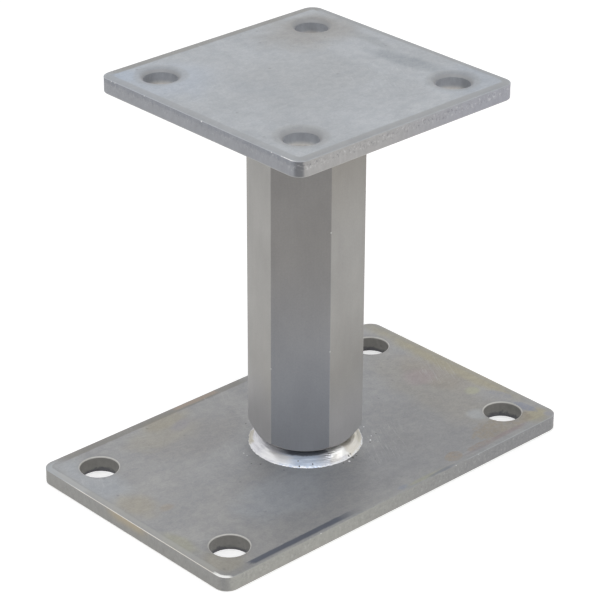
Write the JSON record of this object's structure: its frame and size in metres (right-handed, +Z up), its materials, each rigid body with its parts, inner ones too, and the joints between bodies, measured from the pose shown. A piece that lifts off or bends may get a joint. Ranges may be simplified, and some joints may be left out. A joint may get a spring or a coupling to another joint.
{
  "type": "height-adjustable post base",
  "caption": "Post base with an oblong anchor plate, a hexagon turning sleeve on two welded studs, and a square head plate for a timber post.",
  "frame": {"origin": "middle of the base plate's underside, on the studs' common axis", "axes": "+X along the base plate's long side, +Y along its short side, +Z up through the sleeve to the head plate"},
  "size_m": [0.165, 0.1, 0.147],
  "materials": {
    "plate_steel": "satin zinc-nickel with faint tan and blue tints",
    "sleeve_steel": "satin zinc-nickel over drawn hexagon bar",
    "stud_steel": "zinc-nickel on cut thread",
    "weld_metal": "bright coated weld"
  },
  "bodies": {
    "base": {"base_plate": "plate_steel", "lower_stud": "stud_steel", "lower_weld_bead": "weld_metal"},
    "sleeve": {"hex_sleeve": "sleeve_steel"},
    "head": {"head_plate": "plate_steel", "upper_stud": "stud_steel", "upper_weld_bead": "weld_metal"}
  },
  "joints": [
    {"name": "head_lift", "type": "slide", "parent": "base", "child": "head", "axis": [0, 0, 1], "range_m": [0, 0.048]},
    {"name": "sleeve_rise", "type": "slide", "parent": "base", "child": "sleeve", "axis": [0, 0, 1], "range_m": [0, 0.024]}
  ],
  "couplings": [
    {"joint": "sleeve_rise", "follows": "head_lift", "ratio": 0.5}
  ]
}
